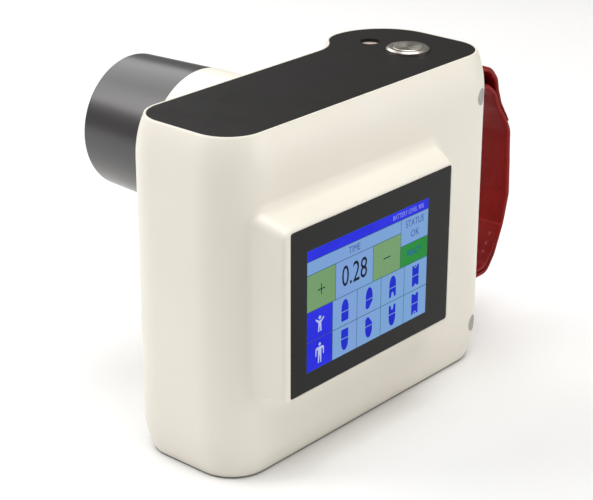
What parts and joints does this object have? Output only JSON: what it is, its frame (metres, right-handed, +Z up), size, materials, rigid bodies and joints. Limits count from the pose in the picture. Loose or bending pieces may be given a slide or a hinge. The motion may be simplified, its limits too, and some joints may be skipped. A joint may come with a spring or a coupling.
{
  "type": "handheld dental x-ray unit",
  "caption": "Handheld dental x-ray unit: box body with grip bulge, raised touch screen, beam cone, sprung exposure and power buttons on top, and a hand strap on the grip end.",
  "frame": {"origin": "on the flat base, under the middle of the main part of the top panel", "axes": "+Z up, +Y the way the beam leaves (away from the screen), +X towards the grip and strap end"},
  "size_m": [0.2114, 0.1351, 0.1503],
  "materials": {
    "housing": "satin warm white moulded ABS",
    "dark_panel": "satin charcoal panel",
    "base_plastic": "fine matte dark grey",
    "cone_plastic": "satin mid grey",
    "lead": "dull lead sheet",
    "aluminium": "milled",
    "screen_glass": "black-backed cover glass",
    "display": "lit display panel",
    "circuit_board": "green solder mask",
    "hv_board": "resin board with capacitors",
    "black_parts": "moulded black",
    "brass": "turned",
    "screw_steel": "zinc plated",
    "spring_steel": "drawn wire",
    "grey_rubber": "matte grey",
    "tube_glass": "clear",
    "copper": "bare copper",
    "nickel": "satin nickel",
    "ferrite": "sintered ferrite with wound coil",
    "tray_plastic": "moulded black",
    "cell_wrap": "blue shrink wrap",
    "button_steel": "spun stainless",
    "strap": "red grained strap with stitching"
  },
  "bodies": {
    "root": {"rear_housing": "housing", "front_cover": "housing", "cone_collar": "housing", "top_panel": "dark_panel", "bottom_cover": "base_plastic", "beam_cone": "cone_plastic", "cone_liner": "lead", "collimator": "lead", "tank_shield": "lead", "beam_filter": "aluminium", "generator_tank": "aluminium", "tank_lid": "aluminium", "touch_glass": "screen_glass", "display_module": "display", "main_board": "circuit_board", "inverter_board": "circuit_board", "hv_multiplier": "hv_board", "board_components": "black_parts", "inverter_components": "black_parts", "board_standoffs": "brass", "tripod_insert": "brass", "board_screws": "screw_steel", "inverter_screws": "screw_steel", "tank_screws": "screw_steel", "collar_screws": "screw_steel", "housing_screws": "screw_steel", "bottom_screws": "screw_steel", "strap_pins": "screw_steel", "exposure_nut": "screw_steel", "socket_nut": "screw_steel", "exposure_spring": "spring_steel", "power_spring": "spring_steel", "screw_plugs": "grey_rubber", "tube_envelope": "tube_glass", "tube_anode": "copper", "tube_cathode": "nickel", "hv_transformer": "ferrite", "battery_tray": "tray_plastic", "battery_cap": "tray_plastic", "battery_cells": "cell_wrap", "charging_socket": "black_parts", "exposure_bezel": "button_steel", "exposure_switch": "black_parts", "power_switch": "black_parts", "hand_strap": "strap"},
    "exposure_button": {"exposure_cap": "button_steel"},
    "power_button": {"power_cap": "button_steel"}
  },
  "joints": [
    {"name": "exposure_press", "type": "slide", "parent": "root", "child": "exposure_button", "axis": [0, 0, -1], "range_m": [0, 0.0016], "stiffness_N_per_m": 900, "springref_m": -0.0008, "deforming": ["exposure_spring"]},
    {"name": "power_press", "type": "slide", "parent": "root", "child": "power_button", "axis": [0, 0, -1], "range_m": [0, 0.001], "stiffness_N_per_m": 900, "springref_m": -0.0006, "deforming": ["power_spring"]}
  ]
}
